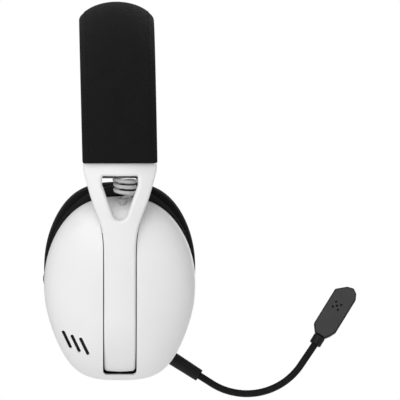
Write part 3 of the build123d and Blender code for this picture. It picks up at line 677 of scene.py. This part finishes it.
def ear_cloth(side_name, rings=18, steps=72):
    """The thin cloth over the driver, quilted on the ear's side and stitched down near its rim."""
    side = SIDES[side_name]
    bm = bmesh.new()
    rows = []
    for level, order in ((CLOTH_BACK, 1), (CLOTH_FRONT, -1)):
        for ring in range(rings)[::order]:
            share = (ring + 0.4) / (rings - 0.6)
            row = []
            for step in range(steps):
                turn = math.tau * step / steps
                u, v = opening(turn, share, 1.0)
                waves = math.cos(u * math.tau / QUILT_PITCH) * math.cos(v * math.tau / QUILT_PITCH)
                quilt = QUILT_DEPTH * waves * (1 - share**4)
                hem = HEM_DEPTH * math.exp(-(((share - HEM_PLACE) / HEM_WIDTH) ** 2))
                out = level - (quilt + hem if level == CLOTH_FRONT else 0)
                row.append((cup_point(side, u, v, out), u * MM, v * MM))
            rows.append(row)
    grid = add_grid(bm, rows, True)
    for ring in (grid[0], grid[-1]):
        bm.faces.new(ring)
    bmesh.ops.recalc_face_normals(bm, faces=bm.faces)
    piece = make_piece(f"driver_cloth_{side_name}", bm, "pad_fabric")
    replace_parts(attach(piece, f"{side_name}_cup"), f"ear_cloth_{side_name}")


# ---- coiled leads between the headband and the cups, in millimetres from the middle of the cup's rim ----
LEAD_RADIUS = 1.0 * MM
COIL_RADIUS, COIL_PITCH = 5.15, 2.95
COIL_LOW, COIL_HIGH = 52.6, 61.0
COIL_ALONG, COIL_OUT = 2.6, 12.0  # the coil's axis
TURN_STEPS = 36
TAIL_STEPS, TAIL_TURN, TAIL_DROP = 13, -0.9, 3.4  # from the lowest turn towards the grommet
GROMMET_ALONG, GROMMET_OUT = 1.5, 8.0


def coil(side_name):
    """The lead's turns, the short rise into the headband and the tail that curls down into the cup."""
    side = SIDES[side_name]
    turns = (COIL_HIGH - COIL_LOW) / COIL_PITCH
    route = []
    for step in range(int(turns * TURN_STEPS) + 1):
        angle = math.tau * step / TURN_STEPS
        along = COIL_ALONG + COIL_RADIUS * math.cos(angle)
        up = COIL_LOW + COIL_PITCH * step / TURN_STEPS
        route.append((along, up, COIL_OUT + COIL_RADIUS * math.sin(angle)))
    last = route[-1]
    route += [(last[0] - 0.35, last[1] + 0.9, last[2] - 0.4), (last[0] - 0.5, last[1] + 2.0, last[2] - 0.6)]
    tail = []
    for step in range(1, TAIL_STEPS):
        share = step / TAIL_STEPS
        angle = TAIL_TURN * share
        pull = share**1.2
        along = COIL_ALONG + COIL_RADIUS * math.cos(angle)
        out = COIL_OUT + COIL_RADIUS * math.sin(angle)
        along += (GROMMET_ALONG - along) * pull
        out += (GROMMET_OUT - out) * pull
        tail.append((along, COIL_LOW - 0.3 - TAIL_DROP * share, out))
    tail += [(GROMMET_ALONG, up, GROMMET_OUT) for up in (48.4, 47.2, 45.6)]
    points = [cup_point(side, *place) for place in list(reversed(tail)) + route]
    lead = tube(f"coiled_lead_{side_name}", points, LEAD_RADIUS, "lead_grey", 16)
    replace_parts(lead, f"coil_lead_{side_name}")
    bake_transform(lead)


for side_name in SIDES:
    ear_pad(side_name)
    ear_cloth(side_name)
    coil(side_name)

# ---- microphone boom: a rubber-covered gooseneck in three lengths that meet between its bends ----
MIC_LEVEL = 7.0  # the boom's middle line lies this far out from the cup's rim
START = (43.84, -49.5)
START_ANGLE, END_ANGLE = math.radians(-33.0), math.radians(56.0)
RUN_IN, BEND_RADIUS, RUN_OUT = 7.8, 35.5, 13.9
BEND_ARC = BEND_RADIUS * (END_ANGLE - START_ANGLE)
BOOM_RADIUS = 1.93 * MM
BOOM_OVERRUN = 1.5  # how far it runs into the plug and the collar
BLEND_REACH = 13.0  # a distance before and after each bend; the points found at it are not used


def boom_place(distance):
    """The point that far along the boom's middle line, in millimetres: straight, an arc, then straight."""
    run = min(distance, RUN_IN)
    u, v = START[0] + run * math.cos(START_ANGLE), START[1] + run * math.sin(START_ANGLE)
    heading = START_ANGLE
    if distance > RUN_IN:
        heading = START_ANGLE + min(distance - RUN_IN, BEND_ARC) / BEND_RADIUS
        u += BEND_RADIUS * (math.sin(heading) - math.sin(START_ANGLE))
        v += BEND_RADIUS * (math.cos(START_ANGLE) - math.cos(heading))
    rest = max(0.0, distance - RUN_IN - BEND_ARC)
    return cup_point(1, u + rest * math.cos(heading), v + rest * math.sin(heading), MIC_LEVEL)


def along_boom(joint_name):
    """How far along the boom a bend lies."""
    pivot = Vector(joints[joint_name]["pos_m"])
    return min((step * 0.25 for step in range(400)), key=lambda d: (boom_place(d) - pivot).length)


boom_length = RUN_IN + BEND_ARC + RUN_OUT
bends = [along_boom(f"boom_bend_{number}") for number in (1, 2, 3)]
first_cut, second_cut = (bends[0] + bends[1]) / 2, (bends[1] + bends[2]) / 2
cuts = [-BOOM_OVERRUN, first_cut, second_cut, boom_length + BOOM_OVERRUN]
# The first bend is so near the plug that its reach back ends almost at the plug; the points found at these
# reaches are not used.
reaches_back = [RUN_IN - 0.6, BLEND_REACH, BLEND_REACH]
stood_for = [["boom_root"], ["boom_lower"], ["boom_upper", "boom_neck"]]
for number in range(3):
    first, last = cuts[number], cuts[number + 1]
    steps = round((last - first) / 0.6)
    points = [boom_place(first + (last - first) * step / steps) for step in range(steps + 1)]
    length = tube(f"boom_tube_{number + 1}", points, BOOM_RADIUS, "boom_rubber", 24)
    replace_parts(length, *stood_for[number])
    blend_from = boom_place(bends[number] - reaches_back[number])
    boom_place(bends[number] + BLEND_REACH)
    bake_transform(length)

# ---- floor, lights and camera ----
FLOOR_LEVEL, FLOOR_STEP = -0.30, 1.3
floor_finish = Finish("floor_paint", (0.93, 0.93, 0.93), 0.7)
floor_finish.bump((floor_finish.noise(2, 2), 0.05, 0.2))
floor_finish.shader.inputs["Emission Color"].default_value = (1, 1, 1, 1)
floor_finish.shader.inputs["Emission Strength"].default_value = 0.12
bm = bmesh.new()
tiles = range(-3, 4)
floor_rows = [[(Vector((x * FLOOR_STEP, y * FLOOR_STEP, FLOOR_LEVEL)), x, y) for x in tiles] for y in tiles]
add_grid(bm, floor_rows, False)
make_object("floor", bm, floor_finish.material)


def area_light(name, place, size, power, aim):
    data = bpy.data.lights.new(name, "AREA")
    data.shape = "DISK"
    data.size, data.energy = size, power
    light = bpy.data.objects.new(name, data)
    scene.collection.objects.link(light)
    light.location = place
    light.rotation_euler = (aim - light.location).to_track_quat("-Z", "Y").to_euler()


middle = (cad_box[0] + cad_box[1]) / 2
area_light("key", Vector((-0.5, -1.3, 1.0)), 2.0, 19.0, middle)
area_light("fill", Vector((-0.3, -1.7, -0.2)), 1.6, 2.5, middle)
area_light("back", Vector((0.4, 1.8, 0.35)), 1.6, 10.0, middle)

world = bpy.data.worlds.new("studio")
scene.world = world
world.use_nodes = True
background = world.node_tree.nodes["Background"]
background.inputs["Color"].default_value = (1, 1, 1, 1)
# The white surroundings light the object less than they show, as a lit backdrop behind it would.
rays = world.node_tree.nodes.new("ShaderNodeLightPath")
strength = world.node_tree.nodes.new("ShaderNodeMapRange")
strength.inputs["To Min"].default_value = 0.42
strength.inputs["To Max"].default_value = 1.0
world.node_tree.links.new(rays.outputs["Is Camera Ray"], strength.inputs["Value"])
world.node_tree.links.new(strength.outputs["Result"], background.inputs["Strength"])
scene.view_settings.view_transform = "Standard"

CAMERA_AZIMUTH, CAMERA_DISTANCE = math.radians(-1.0), 3.0
SENSOR_WIDTH, IMAGE_WIDTH = 36.0, 400
PIXEL_SIZE = 0.52  # millimetres, at the yoke's outer face
target = Vector((0.0416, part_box("yoke_right")[0].y, 0.0413))
camera_data = bpy.data.cameras.new("camera")
camera_data.sensor_width = SENSOR_WIDTH
camera_data.lens = SENSOR_WIDTH * CAMERA_DISTANCE / (IMAGE_WIDTH * PIXEL_SIZE * MM)
camera_data.clip_start, camera_data.clip_end = 0.05, 50.0
camera = bpy.data.objects.new("camera", camera_data)
scene.collection.objects.link(camera)
back = Vector((math.sin(CAMERA_AZIMUTH), -math.cos(CAMERA_AZIMUTH), 0))
camera.location = target + back * CAMERA_DISTANCE
camera.rotation_mode = "QUATERNION"
camera.rotation_quaternion = (-back).to_track_quat("-Z", "Y")
scene.camera = camera
